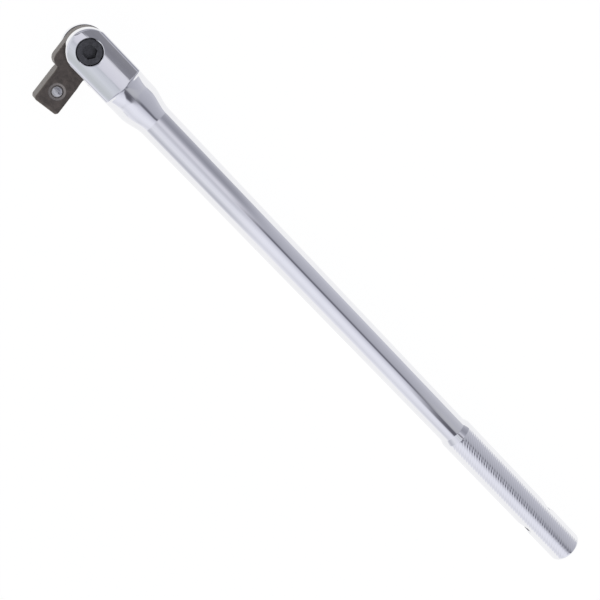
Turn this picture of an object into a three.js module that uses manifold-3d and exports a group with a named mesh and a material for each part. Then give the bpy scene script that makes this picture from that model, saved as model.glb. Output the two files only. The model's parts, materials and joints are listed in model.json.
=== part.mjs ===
// Flex-head breaker bar, 1/2 inch drive, 375 mm long.
//
// A one-piece steel handle (forked yoke, neck, shaft and grip) carries a drive head between the
// two ears of its yoke. The head turns on a socket-head shoulder screw, and a sprung ball in the
// crotch of the fork leans on its rim, so it stays at the angle it is put to.
//
// Millimetres. The model is drawn with the pivot at the origin, +X along the handle towards the
// grip and +Z along the screw, out of its head. The last lines move it so that the origin is at
// the middle of the base.

import * as THREE from 'three';
import { mergeGeometries, mergeVertices } from 'three/addons/utils/BufferGeometryUtils.js';
import Module from 'manifold-3d';

const wasm = await Module();
wasm.setup();

// ---------------------------------------------------------------- driving dimensions

const OVERALL_LENGTH = 375; // ear tip to grip end

// Yoke
const YOKE_WIDTH = 21.2; // across the flanks, along Y
const YOKE_THICKNESS = 22; // over both ears, along Z
const YOKE_EDGE_RADIUS = 1.5; // rounding of the forged edges
const FLATS_END = 22; // the ears' flat faces stop this far behind the pivot
const FOLD_LIMIT = 105; // degrees the head folds either way from straight

// Neck, shaft and grip
const NECK_LENGTH = 23; // from the end of the flats to the round shaft
const SHOULDER_LENGTH = 11; // stretch of the neck that keeps the yoke's width
const NECK_DROP_LENGTH = 21.5; // from the flats until it is as low as the shaft
const CORNER_RUN_OUT = 8; // stretch over which the yoke's square corners turn round
const CORNER_LEAD = 1.4; // how far before the end of the flats that starts
const SHAFT_DIAMETER = 16.7; // at the neck
const SHAFT_GRIP_END_DIAMETER = 15.6; // where it runs into the grip
const GRIP_LENGTH = 99;
const GRIP_DIAMETER = 17.6;
const COLLAR_LENGTH = 4; // smooth curve up from the shaft to the grip
const END_RADIUS = 2; // rounding of the grip's end
const CROSS_HOLE_DIAMETER = 9;
const CROSS_HOLE_FROM_END = 27;
const CROSS_HOLE_CHAMFER = 0.6;

// Drive head
const DRIVE_SQUARE = 12.7; // 1/2 inch
const DRIVE_EDGE_RADIUS = 0.9;
const DRIVE_TIP_BEVEL = 1.6;
const DRIVE_REACH = 31.3; // pivot to the tip of the square
const REST_LEAN = 8.1; // degrees past square that the head is folded at rest
const TANG_THICKNESS = 10;
const TANG_RADIUS = 10.3;
const TANG_EDGE_BEVEL = 0.5;
const SHOULDER_REACH = 13.8; // pivot to the outer shoulder, which the socket stops at
const SHOULDER_CORNER_RADIUS = 3.9;

// Pivot screw
const SCREW_HEAD_DIAMETER = 12;
const SCREW_HEAD_HEIGHT = 3;
const SCREW_HEAD_RECESS = 0.6; // how far the head sits below the ear's face
const SCREW_HEAD_CHAMFER = 0.6;
const SCREW_SHANK_DIAMETER = 9; // bears in the near ear and in the tang
const SCREW_THREAD_DIAMETER = 8; // in the far ear
const SCREW_END_RECESS = 0.5;
const SCREW_END_CHAMFER = 0.8;
const KEY_ACROSS_FLATS = 6;
const KEY_DEPTH = 4;

// Washers between the tang and the ears
const THRUST_WASHER_THICKNESS = 0.5;
const WAVE_WASHER_THICKNESS = 0.3;
const WAVE_HEIGHT = 0.12; // half the height of a wave
const WAVE_COUNT = 3;
const WASHER_DIAMETER = 18.4;

// Ball that holds a socket on the square
const SOCKET_BALL_DIAMETER = 6;
const SOCKET_BALL_REACH = 22.7; // pivot to the ball
const SOCKET_BALL_PROUD = 1.3; // how far it stands out of the square's face
const BALL_MOUTH_RADIUS = 4.05; // countersink around the ball
const BALL_MOUTH_DEPTH = 0.4;
const BALL_LIP_HEIGHT = 0.2;
const SOCKET_SPRING_LENGTH = 4.8;

// Ball that holds the head at its angle
const DETENT_BALL_DIAMETER = 6.35;
const DETENT_BALL_TRAVEL = 0.3;
const DETENT_SPRING_LENGTH = 9;

// Springs
const SPRING_WIRE = 0.7;
const SPRING_TURNS = 5.5;

// Clearances
const RUNNING = 0.1; // on the radius of a turning or sliding fit
const SEAT = 0.05; // between faces that rest on each other
const SPRING_CLEARANCE = 0.3; // around a spring in its bore, and at its ends
const BALL_LIP_CLEARANCE = 0.06; // between a ball and the lip that keeps it in
const TANG_PLAY = 0.08; // each side of a washer
const CUT_OVERRUN = 1; // how far a cutter reaches past the face it starts from

// Facets
const ROUND = 48; // around a turned piece
const CORNER_STEPS = ROUND / 4; // around a quarter turn
const BLEND_STEPS = 12; // along the neck
const FILLET_STEPS = 5;
const WIRE_SIDES = 8;
const WIRE_STEPS_PER_TURN = 12;

// ---------------------------------------------------------------- derived sizes

const halfWidth = YOKE_WIDTH / 2;
const halfThickness = YOKE_THICKNESS / 2;
const shaftRadius = SHAFT_DIAMETER / 2;
const gripRadius = GRIP_DIAMETER / 2;
const gripEnd = OVERALL_LENGTH - halfWidth;
const gripStart = gripEnd - GRIP_LENGTH;
const halfTang = TANG_THICKNESS / 2;
const washerSpace = Math.max(
  THRUST_WASHER_THICKNESS,
  WAVE_WASHER_THICKNESS + 2 * WAVE_HEIGHT,
) + 2 * TANG_PLAY;
const halfSlot = halfTang + washerSpace;
const halfSquare = DRIVE_SQUARE / 2;
const foldLean = THREE.MathUtils.degToRad(FOLD_LIMIT - 90);

// Furthest that the tang reaches towards the fork when the head is folded to its limit.
const cornerX = TANG_RADIUS - SHOULDER_CORNER_RADIUS;
const cornerY = SHOULDER_REACH - SHOULDER_CORNER_RADIUS;
const foldedTangReach =
  cornerX * Math.cos(foldLean) + cornerY * Math.sin(foldLean) + SHOULDER_CORNER_RADIUS;
const crotch = foldedTangReach + 4 * RUNNING;

// The thick part of the square starts where it clears the ears' flanks at the fold limit.
const squareStart =
  (halfWidth + 2 * RUNNING + halfSquare * Math.sin(foldLean)) / Math.cos(foldLean);

const screwHeadTop = halfThickness - SCREW_HEAD_RECESS;
const screwHeadSeat = screwHeadTop - SCREW_HEAD_HEIGHT;

const socketBallRadius = SOCKET_BALL_DIAMETER / 2;
const socketBallZ = halfSquare + SOCKET_BALL_PROUD - socketBallRadius;
const socketBoreRadius = socketBallRadius + RUNNING;
const socketSpringTop = socketBallZ - socketBallRadius - SPRING_CLEARANCE;
const socketBoreFloor = socketSpringTop - SOCKET_SPRING_LENGTH - SPRING_CLEARANCE;

const detentBallRadius = DETENT_BALL_DIAMETER / 2;
// Clear of the tang's flat side when the head is folded to its limit.
const detentBallX = (TANG_RADIUS + detentBallRadius) / Math.cos(foldLean) + SEAT;
const detentBoreRadius = detentBallRadius + RUNNING;
const detentSpringStart = detentBallX + detentBallRadius + DETENT_BALL_TRAVEL + SEAT;
const detentBoreEnd = detentSpringStart + DETENT_SPRING_LENGTH + SPRING_CLEARANCE;

// ---------------------------------------------------------------- solids and meshes

/** A closed geometry as a manifold solid, with its doubled points joined. */
function toSolid(geometry) {
  const bare = geometry.clone();
  bare.deleteAttribute('normal');
  bare.deleteAttribute('uv');
  const welded = mergeVertices(bare, 1e-5);
  const index = welded.index.array;
  const triangles = [];
  for (let i = 0; i < index.length; i += 3) {
    const [a, b, c] = [index[i], index[i + 1], index[i + 2]];
    if (a !== b && b !== c && c !== a) triangles.push(a, b, c);
  }
  return new wasm.Manifold(new wasm.Mesh({
    numProp: 3,
    vertProperties: new Float32Array(welded.attributes.position.array),
    triVerts: new Uint32Array(triangles),
  }));
}

/** A manifold solid as a geometry. */
function toGeometry(solid) {
  const mesh = solid.getMesh();
  const geometry = new THREE.BufferGeometry();
  geometry.setAttribute('position', new THREE.BufferAttribute(mesh.vertProperties, 3));
  geometry.setIndex(new THREE.BufferAttribute(mesh.triVerts, 1));
  geometry.computeVertexNormals();
  return geometry;
}

/** A geometry with one material as a named mesh. */
function piece(name, geometry, finish) {
  const mesh = new THREE.Mesh(geometry, new THREE.MeshStandardMaterial(finish));
  mesh.name = name;
  return mesh;
}

/** The points of a rectangle with rounded corners, anticlockwise, as [u, v] pairs. */
function roundedRectangle(halfU, halfV, radius) {
  const points = [];
  const corners = [[1, 1], [-1, 1], [-1, -1], [1, -1]];
  corners.forEach(([signU, signV], quarter) => {
    for (let step = 0; step <= CORNER_STEPS; step += 1) {
      const angle = (Math.PI / 2) * (quarter + step / CORNER_STEPS);
      points.push([
        signU * (halfU - radius) + radius * Math.cos(angle),
        signV * (halfV - radius) + radius * Math.sin(angle),
      ]);
    }
  });
  return points;
}

/** A solid skinned over rings of points that run anticlockwise seen from the last ring. */
function loft(rings) {
  const count = rings[0].length;
  const positions = rings.flat().flatMap((point) => [point.x, point.y, point.z]);
  const faces = [];
  for (let ring = 0; ring + 1 < rings.length; ring += 1) {
    for (let i = 0; i < count; i += 1) {
      const next = (i + 1) % count;
      const [a, b] = [ring * count + i, ring * count + next];
      const [c, d] = [a + count, b + count];
      faces.push(a, b, d, a, d, c);
    }
  }
  const last = (rings.length - 1) * count;
  for (let i = 1; i + 1 < count; i += 1) {
    faces.push(0, i + 1, i);
    faces.push(last, last + i, last + i + 1);
  }
  const geometry = new THREE.BufferGeometry();
  geometry.setAttribute('position', new THREE.Float32BufferAttribute(positions, 3));
  geometry.setIndex(faces);
  return geometry;
}

/** A profile of [radius, height] points turned about Z. It starts and ends on the axis. */
function turned(profile, segments = ROUND) {
  const points = profile.map(([radius, height]) => new THREE.Vector2(radius, height));
  return new THREE.LatheGeometry(points, segments).rotateX(Math.PI / 2);
}

/** A plain rod along Z between two heights. */
function rod(radius, low, high) {
  return turned([[0, low], [radius, low], [radius, high], [0, high]]);
}

/** The same shape laid along +X. */
function alongX(geometry) {
  return geometry.rotateY(Math.PI / 2);
}

/** A helical wire of round section along Z, with its ends at the two heights. */
function coil(outerRadius, low, high) {
  const radius = outerRadius - SPRING_WIRE / 2;
  const start = low + SPRING_WIRE / 2;
  const rise = high - low - SPRING_WIRE;
  class Helix extends THREE.Curve {
    getPoint(t, target = new THREE.Vector3()) {
      const angle = 2 * Math.PI * SPRING_TURNS * t;
      return target.set(radius * Math.cos(angle), radius * Math.sin(angle), start + rise * t);
    }
  }
  const section = new THREE.Shape();
  section.absarc(0, 0, SPRING_WIRE / 2, 0, 2 * Math.PI);
  return new THREE.ExtrudeGeometry(section, {
    curveSegments: WIRE_SIDES / 2, // three.js doubles this on an arc
    steps: Math.round(SPRING_TURNS * WIRE_STEPS_PER_TURN),
    extrudePath: new Helix(),
  });
}

/** 0 to 1, level at both ends. */
function ease(t) {
  const clamped = THREE.MathUtils.clamp(t, 0, 1);
  return clamped * clamped * (3 - 2 * clamped);
}

// ---------------------------------------------------------------- handle

/** One cross-section of the handle: half width, half height and corner radius at x. */
function handleSection(x, halfY, halfZ, radius) {
  const corner = Math.min(radius, halfY, halfZ);
  return roundedRectangle(halfY, halfZ, corner).map(([y, z]) => new THREE.Vector3(x, y, z));
}

function roundSection(x, radius) {
  return handleSection(x, radius, radius, radius);
}

/** A section of the neck. It drops from the flats at once, and its corners soon turn round. */
function neckSection(x) {
  const along = Math.max(0, (x - FLATS_END) / NECK_LENGTH);
  const shoulder = SHOULDER_LENGTH / NECK_LENGTH;
  const narrowing = 0.06 * along + 0.94 * ease((along - shoulder) / (1 - shoulder));
  const drop = THREE.MathUtils.clamp((x - FLATS_END) / NECK_DROP_LENGTH, 0, 1);
  const lowering = drop * (1.3 - 0.3 * drop);
  const roundAt = FLATS_END - CORNER_LEAD + CORNER_RUN_OUT;
  const square = THREE.MathUtils.clamp((roundAt - x) / CORNER_RUN_OUT, 0, 1);
  const halfY = THREE.MathUtils.lerp(halfWidth, shaftRadius, narrowing);
  const halfZ = THREE.MathUtils.lerp(halfThickness, shaftRadius, lowering);
  const round = Math.min(halfY, halfZ);
  return handleSection(x, halfY, halfZ, THREE.MathUtils.lerp(round, YOKE_EDGE_RADIUS, square ** 3));
}

/** The forged blank: yoke block, neck, shaft and grip, skinned as one surface. */
function handleBlank() {
  const rings = [
    handleSection(-halfWidth - CUT_OVERRUN, halfWidth, halfThickness, YOKE_EDGE_RADIUS),
    neckSection(FLATS_END - CORNER_LEAD),
    neckSection(FLATS_END - CORNER_LEAD / 2),
  ];
  for (let step = 0; step <= BLEND_STEPS; step += 1) {
    rings.push(neckSection(FLATS_END + NECK_LENGTH * (step / BLEND_STEPS)));
  }
  const shaftEndRadius = SHAFT_GRIP_END_DIAMETER / 2;
  for (let step = 0; step <= FILLET_STEPS; step += 1) {
    const t = step / FILLET_STEPS;
    const radius = THREE.MathUtils.lerp(shaftEndRadius, gripRadius, ease(t));
    rings.push(roundSection(gripStart + COLLAR_LENGTH * t, radius));
  }
  for (let step = 0; step <= FILLET_STEPS; step += 1) {
    const angle = (Math.PI / 2) * (step / FILLET_STEPS);
    rings.push(roundSection(
      gripEnd - END_RADIUS * (1 - Math.sin(angle)),
      gripRadius - END_RADIUS * (1 - Math.cos(angle)),
    ));
  }
  return loft(rings);
}

/** Plan of the yoke with its round tip, bevelled like the blank's own edges. */
function tipEnvelope() {
  const plan = new THREE.Shape();
  const inner = halfWidth - YOKE_EDGE_RADIUS;
  const outer = gripEnd + CUT_OVERRUN;
  const wide = halfWidth + CUT_OVERRUN;
  plan.moveTo(FLATS_END, -wide);
  plan.lineTo(outer, -wide);
  plan.lineTo(outer, wide);
  plan.lineTo(FLATS_END, wide);
  plan.lineTo(FLATS_END / 2, inner);
  plan.lineTo(0, inner);
  plan.absarc(0, 0, inner, Math.PI / 2, (3 * Math.PI) / 2, false);
  plan.lineTo(FLATS_END / 2, -inner);
  plan.closePath();
  return new THREE.ExtrudeGeometry(plan, {
    depth: YOKE_THICKNESS - 2 * YOKE_EDGE_RADIUS,
    curveSegments: ROUND / 4, // three.js doubles this on an arc
    bevelThickness: YOKE_EDGE_RADIUS,
    bevelSize: YOKE_EDGE_RADIUS,
    bevelSegments: FILLET_STEPS,
  }).translate(0, 0, -halfThickness + YOKE_EDGE_RADIUS);
}

/** The slot between the ears, milled straight across to the crotch. */
function slotCutter() {
  const front = -halfWidth - 2 * CUT_OVERRUN;
  const length = crotch - front;
  return new THREE.BoxGeometry(length, YOKE_WIDTH + 2 * CUT_OVERRUN, 2 * halfSlot)
    .translate(front + length / 2, 0, 0);
}

/** Counterbore, plain bore and threaded hole for the screw, down through both ears. */
function screwCutter() {
  const headBore = SCREW_HEAD_DIAMETER / 2 + 4 * RUNNING;
  const shankBore = SCREW_SHANK_DIAMETER / 2 + RUNNING;
  const threadBore = SCREW_THREAD_DIAMETER / 2 + RUNNING;
  const top = halfThickness + CUT_OVERRUN;
  const bottom = -halfThickness - CUT_OVERRUN;
  return turned([
    [0, bottom], [threadBore, bottom], [threadBore, 0], [shankBore, 0],
    [shankBore, screwHeadSeat - SEAT], [headBore, screwHeadSeat - SEAT], [headBore, top],
    [0, top],
  ]);
}

/** Blind bore in the crotch for the detent ball and its spring. */
function detentCutter() {
  return alongX(rod(detentBoreRadius, crotch - CUT_OVERRUN, detentBoreEnd));
}

/** Hole through the grip along Y, with a chamfer at each mouth. */
function crossHoleCutter() {
  const radius = CROSS_HOLE_DIAMETER / 2;
  const mouth = gripRadius - CROSS_HOLE_CHAMFER;
  const out = gripRadius + CUT_OVERRUN;
  const flare = radius + CROSS_HOLE_CHAMFER + CUT_OVERRUN;
  return turned([
    [0, -out], [flare, -out], [radius, -mouth], [radius, mouth], [flare, out], [0, out],
  ]).rotateX(Math.PI / 2).translate(gripEnd - CROSS_HOLE_FROM_END, 0, 0);
}

function handle() {
  let solid = toSolid(handleBlank()).intersect(toSolid(tipEnvelope()));
  for (const cutter of [slotCutter(), screwCutter(), detentCutter(), crossHoleCutter()]) {
    solid = solid.subtract(toSolid(cutter));
  }
  return piece('handle', toGeometry(solid), { color: 0xd9dade, roughness: 0.12, metalness: 1 });
}

// ---------------------------------------------------------------- drive head

/**
 * The tang: round over the pivot. Its outer side runs straight down to a rounded shoulder, and
 * its inner side is flush with the square, so that the head folds against the ears.
 */
function tang() {
  const radius = TANG_RADIUS - TANG_EDGE_BEVEL;
  const foot = SHOULDER_REACH - TANG_EDGE_BEVEL;
  const corner = SHOULDER_CORNER_RADIUS - TANG_EDGE_BEVEL;
  const plan = new THREE.Shape();
  const inner = halfSquare - TANG_EDGE_BEVEL;
  plan.absarc(0, 0, radius, -Math.acos(inner / radius), Math.PI, false);
  plan.lineTo(-radius, corner - foot);
  plan.absarc(corner - radius, corner - foot, corner, Math.PI, (3 * Math.PI) / 2, false);
  plan.lineTo(inner, -foot);
  plan.closePath();
  return new THREE.ExtrudeGeometry(plan, {
    depth: TANG_THICKNESS - 2 * TANG_EDGE_BEVEL,
    curveSegments: ROUND / 4, // three.js doubles this on an arc
    bevelThickness: TANG_EDGE_BEVEL,
    bevelSize: TANG_EDGE_BEVEL,
    bevelSegments: 2,
  }).translate(0, 0, -halfTang + TANG_EDGE_BEVEL);
}

/** The square, from inside the tang to its bevelled tip, skinned along -Y. */
function square() {
  const section = (reach, halfX, halfZ, radius) =>
    roundedRectangle(halfX, halfZ, radius).map(([x, z]) => new THREE.Vector3(x, -reach, z));
  const inside = SHOULDER_REACH - SHOULDER_CORNER_RADIUS;
  const rise = halfSquare - halfTang;
  const rings = [
    section(inside, halfSquare, halfTang - SEAT, DRIVE_EDGE_RADIUS),
    section(squareStart, halfSquare, halfTang - SEAT, DRIVE_EDGE_RADIUS),
    section(squareStart + rise, halfSquare, halfSquare, DRIVE_EDGE_RADIUS),
  ];
  for (let step = 0; step <= FILLET_STEPS; step += 1) {
    const angle = (Math.PI / 2) * (step / FILLET_STEPS);
    const inset = DRIVE_TIP_BEVEL * (1 - Math.cos(angle));
    const reach = DRIVE_REACH - DRIVE_TIP_BEVEL * (1 - Math.sin(angle));
    rings.push(section(reach, halfSquare - inset, halfSquare - inset, DRIVE_EDGE_RADIUS));
  }
  return loft(rings);
}

/** Bore for the socket ball and its spring, with the lip that keeps the ball in. */
function socketBallCutter() {
  const lipTop = halfSquare - BALL_MOUTH_DEPTH;
  const lipFoot = lipTop - BALL_LIP_HEIGHT;
  const ballAt = (z) => Math.sqrt(socketBallRadius ** 2 - (z - socketBallZ) ** 2);
  const lipRadius = ballAt(lipFoot) + BALL_LIP_CLEARANCE;
  const ledge = (BALL_MOUTH_RADIUS + lipRadius) / 2;
  const top = halfSquare + CUT_OVERRUN;
  return turned([
    [0, socketBoreFloor], [socketBoreRadius, socketBoreFloor],
    [socketBoreRadius, lipFoot - (socketBoreRadius - lipRadius)],
    [lipRadius, lipFoot], [lipRadius, lipTop], [ledge, lipTop],
    [BALL_MOUTH_RADIUS, halfSquare], [BALL_MOUTH_RADIUS, top], [0, top],
  ]).translate(0, -SOCKET_BALL_REACH, 0);
}

function driveHead() {
  const pivotBore = rod(SCREW_SHANK_DIAMETER / 2 + RUNNING, -YOKE_THICKNESS, YOKE_THICKNESS);
  const solid = toSolid(tang())
    .add(toSolid(square()))
    .subtract(toSolid(pivotBore))
    .subtract(toSolid(socketBallCutter()));
  const finish = { color: 0x35322f, roughness: 0.55, metalness: 0.8 };
  return piece('drive_head', toGeometry(solid), finish);
}

function socketBall() {
  const ball = new THREE.SphereGeometry(socketBallRadius, ROUND / 2, ROUND / 3)
    .translate(0, -SOCKET_BALL_REACH, socketBallZ);
  return piece('socket_ball', ball, { color: 0xb9b9ba, roughness: 0.2, metalness: 1 });
}

function socketBallSpring() {
  const spring = coil(
    socketBoreRadius - SPRING_CLEARANCE,
    socketSpringTop - SOCKET_SPRING_LENGTH,
    socketSpringTop,
  ).translate(0, -SOCKET_BALL_REACH, 0);
  return piece('socket_ball_spring', spring, { color: 0x9a9ca0, roughness: 0.35, metalness: 1 });
}

// ---------------------------------------------------------------- pivot

/** Low-head shoulder screw with a hexagon socket. */
function pivotScrew() {
  const head = SCREW_HEAD_DIAMETER / 2;
  const shank = SCREW_SHANK_DIAMETER / 2;
  const thread = SCREW_THREAD_DIAMETER / 2;
  const shankEnd = -halfSlot + SEAT;
  const end = -halfThickness + SCREW_END_RECESS;
  const body = turned([
    [0, end], [thread - SCREW_END_CHAMFER, end], [thread, end + SCREW_END_CHAMFER],
    [thread, shankEnd], [shank, shankEnd], [shank, screwHeadSeat],
    [head, screwHeadSeat], [head, screwHeadTop - SCREW_HEAD_CHAMFER],
    [head - SCREW_HEAD_CHAMFER, screwHeadTop], [0, screwHeadTop],
  ]);
  const keyCorner = KEY_ACROSS_FLATS / 2 / Math.cos(Math.PI / 6);
  const keyFloor = screwHeadTop - KEY_DEPTH;
  const key = turned([
    [0, keyFloor], [keyCorner, keyFloor],
    [keyCorner, screwHeadTop + CUT_OVERRUN], [0, screwHeadTop + CUT_OVERRUN],
  ], 6);
  const solid = toSolid(body).subtract(toSolid(key));
  return piece('pivot_screw', toGeometry(solid), { color: 0x1d1d1f, roughness: 0.5, metalness: 0.7 });
}

/** Flat washer between the tang and the far ear. */
function thrustWasher() {
  const inner = SCREW_SHANK_DIAMETER / 2 + 2 * RUNNING;
  const low = -halfTang - washerSpace / 2 - THRUST_WASHER_THICKNESS / 2;
  const high = low + THRUST_WASHER_THICKNESS;
  const outer = WASHER_DIAMETER / 2;
  const ring = turned([[inner, low], [outer, low], [outer, high], [inner, high], [inner, low]]);
  return piece('thrust_washer', ring, { color: 0xa9abae, roughness: 0.3, metalness: 1 });
}

/** Spring washer with three waves between the tang and the near ear. */
function waveWasher() {
  const inner = SCREW_SHANK_DIAMETER / 2 + 2 * RUNNING;
  const outer = WASHER_DIAMETER / 2;
  const middle = halfTang + washerSpace / 2;
  const half = WAVE_WASHER_THICKNESS / 2;
  const flat = turned([[inner, -half], [outer, -half], [outer, half], [inner, half], [inner, -half]]);
  const points = flat.attributes.position;
  for (let i = 0; i < points.count; i += 1) {
    const angle = Math.atan2(points.getY(i), points.getX(i));
    points.setZ(i, points.getZ(i) + middle + WAVE_HEIGHT * Math.sin(WAVE_COUNT * angle));
  }
  return piece('wave_washer', flat, { color: 0x8f9296, roughness: 0.35, metalness: 1 });
}

// ---------------------------------------------------------------- detent in the fork

function detentBall() {
  const ball = new THREE.SphereGeometry(detentBallRadius, ROUND / 2, ROUND / 3)
    .translate(detentBallX, 0, 0);
  return piece('detent_ball', ball, { color: 0xb9b9ba, roughness: 0.2, metalness: 1 });
}

function detentSpring() {
  const spring = alongX(coil(
    detentBoreRadius - SPRING_CLEARANCE,
    detentSpringStart,
    detentSpringStart + DETENT_SPRING_LENGTH,
  ));
  return piece('detent_spring', spring, { color: 0x9a9ca0, roughness: 0.35, metalness: 1 });
}

// ---------------------------------------------------------------- assembly

const head = new THREE.Group();
head.add(driveHead(), socketBall(), socketBallSpring());
head.rotation.z = THREE.MathUtils.degToRad(REST_LEAN);

const bar = new THREE.Group();
bar.add(handle(), head, pivotScrew(), thrustWasher(), waveWasher(), detentBall(), detentSpring());

// Put the origin at the middle of the base.
const bounds = new THREE.Box3().setFromObject(bar, true);
const middle = bounds.getCenter(new THREE.Vector3());
bar.position.set(-middle.x, -middle.y, -bounds.min.z);

const assembly = new THREE.Group();
assembly.add(bar);

export default assembly;
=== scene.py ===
# %% [markdown]
# # A flex-head breaker bar
# A breaker bar is a long lever for stuck bolts. A forged handle ends in a fork, a drive head folds
# between the two ears of the fork, and a screw holds it there. The solid model already settles
# every size and every joint, so this lesson only gives the pieces the surfaces that a forge, a
# lathe, a knurling wheel and a plating bath leave behind.

import json
import math

import bmesh
import bpy
from mathutils import Matrix, Vector


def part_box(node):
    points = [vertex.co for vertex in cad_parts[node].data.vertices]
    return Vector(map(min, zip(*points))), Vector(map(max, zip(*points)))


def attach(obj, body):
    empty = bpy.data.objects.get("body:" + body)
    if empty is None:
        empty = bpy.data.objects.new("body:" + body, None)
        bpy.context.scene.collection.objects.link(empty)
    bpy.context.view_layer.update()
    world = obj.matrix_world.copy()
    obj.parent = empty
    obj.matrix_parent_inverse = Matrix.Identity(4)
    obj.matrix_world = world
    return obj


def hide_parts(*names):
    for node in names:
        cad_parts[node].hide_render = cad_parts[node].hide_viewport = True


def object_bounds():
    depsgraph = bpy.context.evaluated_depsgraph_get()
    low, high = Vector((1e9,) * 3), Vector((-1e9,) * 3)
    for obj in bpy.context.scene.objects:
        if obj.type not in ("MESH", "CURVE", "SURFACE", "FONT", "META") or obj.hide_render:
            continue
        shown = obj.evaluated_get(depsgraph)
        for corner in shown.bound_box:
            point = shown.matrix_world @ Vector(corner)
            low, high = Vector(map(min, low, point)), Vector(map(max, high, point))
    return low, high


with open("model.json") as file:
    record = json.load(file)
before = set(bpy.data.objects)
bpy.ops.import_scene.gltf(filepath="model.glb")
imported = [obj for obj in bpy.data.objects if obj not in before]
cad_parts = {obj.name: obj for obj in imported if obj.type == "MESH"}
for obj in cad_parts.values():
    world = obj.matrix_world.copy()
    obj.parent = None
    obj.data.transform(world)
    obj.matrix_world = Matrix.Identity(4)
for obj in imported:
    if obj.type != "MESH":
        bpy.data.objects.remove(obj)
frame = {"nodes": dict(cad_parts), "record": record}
cad_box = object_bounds()
nodes = frame["nodes"]
print("solid model:", sorted(nodes))
print("its size in mm:", [round(1000 * side, 1) for side in cad_box[1] - cad_box[0]])

# %% [markdown]
# ## Where things are
# The handle lies along X with the grip towards +X, and the screw stands up along Z. The screw's
# own box gives the pivot, so no place is typed in. The drive head leans a few degrees past square.
# The record keeps the direction of the square's tip, and the lean is read from that.

# %% The pivot, the axis of the bar and the lean of the head
MM = 0.001


def middle_of(name):
    low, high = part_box(name)
    return (low + high) / 2


handle_low, handle_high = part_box("handle")
pivot = middle_of("pivot_screw")
pivot.z = (handle_low.z + handle_high.z) / 2
slot_half, crotch = 5.70, 13.0  # half the fork's slot, and how far behind the pivot it ends, in mm
tip_mount = next(m for m in frame["record"]["mounts"] if m["name"] == "drive_square_tip")
head_lean = math.atan2(tip_mount["axis"][0], -tip_mount["axis"][1])
print("pivot in mm:", [round(1000 * place, 2) for place in pivot])
print("the head leans", round(math.degrees(head_lean), 1), "degrees")

# %% [markdown]
# ## Camera
# A long lens looks down on the bar from high above the fork, so the grip runs away from the eye
# and gets a little narrower. The camera is aimed with a look-at turn, then rolled until the bar
# lies across the corner of the frame.

# %% Camera above the fork
camera_data = bpy.data.cameras.new("camera")
camera = bpy.data.objects.new("camera", camera_data)
bpy.context.scene.collection.objects.link(camera)
bpy.context.scene.camera = camera
camera_place = pivot + Vector((-132.2, -15.4, 715.9)) * MM
camera_target = pivot + Vector((157.32, -9.53, 0)) * MM
camera_back = (camera_place - camera_target).normalized()
camera_side = Vector((0, 1, 0)).cross(camera_back).normalized()
camera_up = camera_back.cross(camera_side)
level = Matrix((camera_side, camera_up, camera_back)).transposed()
camera.rotation_mode = "QUATERNION"
camera.rotation_quaternion = (level @ Matrix.Rotation(math.radians(45.65), 3, "Z")).to_quaternion()
camera.location = camera_place
camera_data.lens = 96.37
camera_data.sensor_width = 36
camera_data.clip_start = 0.01
camera_data.clip_end = 20
print("camera at", [round(x, 4) for x in camera.location], "lens", camera_data.lens, "mm")

# %% [markdown]
# ## Colours and nodes
# Colours are written as the hex values that a colour picker shows. The shader works in linear
# light, so one function turns them. Another small function adds a node, sets it up and links it,
# which keeps every recipe below to a few readable lines.


# %% Hex colours and shader nodes
def colour(hex_value):
    def linear(channel):
        return channel / 12.92 if channel <= 0.04045 else ((channel + 0.055) / 1.055) ** 2.4

    parts = [int(hex_value[i : i + 2], 16) / 255 for i in (1, 3, 5)]
    return (*[linear(part) for part in parts], 1.0)


def add(tree, kind, settings=None, **links):
    """A node of that kind. A link's value is a socket to join, or a constant for the input."""
    node = tree.nodes.new(kind)
    for name, value in (settings or {}).items():
        setattr(node, name, value)
    for name, value in links.items():
        place = int(name[1:]) if name[0] == "i" and name[1:].isdigit() else name.replace("_", " ")
        if isinstance(value, bpy.types.NodeSocket):
            tree.links.new(value, node.inputs[place])
        else:
            node.inputs[place].default_value = value
    return node


def set_stops(ramp_node, stops):
    """Colour stops from a list of (place, hex)."""
    elements = ramp_node.color_ramp.elements
    for _ in stops[len(elements) :]:
        elements.new(0.5)
    for element, (place, hex_value) in zip(elements, stops):
        element.position = place
    for element, (place, hex_value) in zip(elements, stops):
        element.color = colour(hex_value)


print("mid grey is", round(colour("#808080")[0], 4), "in linear light")

# %% [markdown]
# ## Light
# Bright chrome has almost no colour of its own. What one sees on it is the room, so the room is
# the real material here: white paper below, a white tent on one side, a greyer side towards the
# worktop's edge, and the dark gap where the tent opens for the camera. That gap draws the thin
# dark line down the shaft. The tent is made in the world shader. Its directions are measured
# as two angles: how far a direction tips across the bar, and how far it leans along the bar.
# A ramp holds the greys across the bar, and there are four of them, one after the other along it.

# %% The tent as a world shader
world = bpy.data.worlds.new("light_tent")
bpy.context.scene.world = world
world.use_nodes = True
tent = world.node_tree
tent.nodes.clear()
direction = add(tent, "ShaderNodeTexCoord").outputs["Generated"]
axes = add(tent, "ShaderNodeSeparateXYZ", i0=direction)
across = add(
    tent, "ShaderNodeMath", {"operation": "ARCTAN2"}, i0=axes.outputs[1], i1=axes.outputs[2]
)
across_degrees = add(tent, "ShaderNodeMath", {"operation": "DEGREES"}, i0=across.outputs[0]).outputs[0]
along = add(tent, "ShaderNodeMath", {"operation": "ARCSINE"}, i0=axes.outputs[0])
along_degrees = add(tent, "ShaderNodeMath", {"operation": "DEGREES"}, i0=along.outputs[0]).outputs[0]
print("the tent has", len(tent.nodes), "nodes so far")


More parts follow.
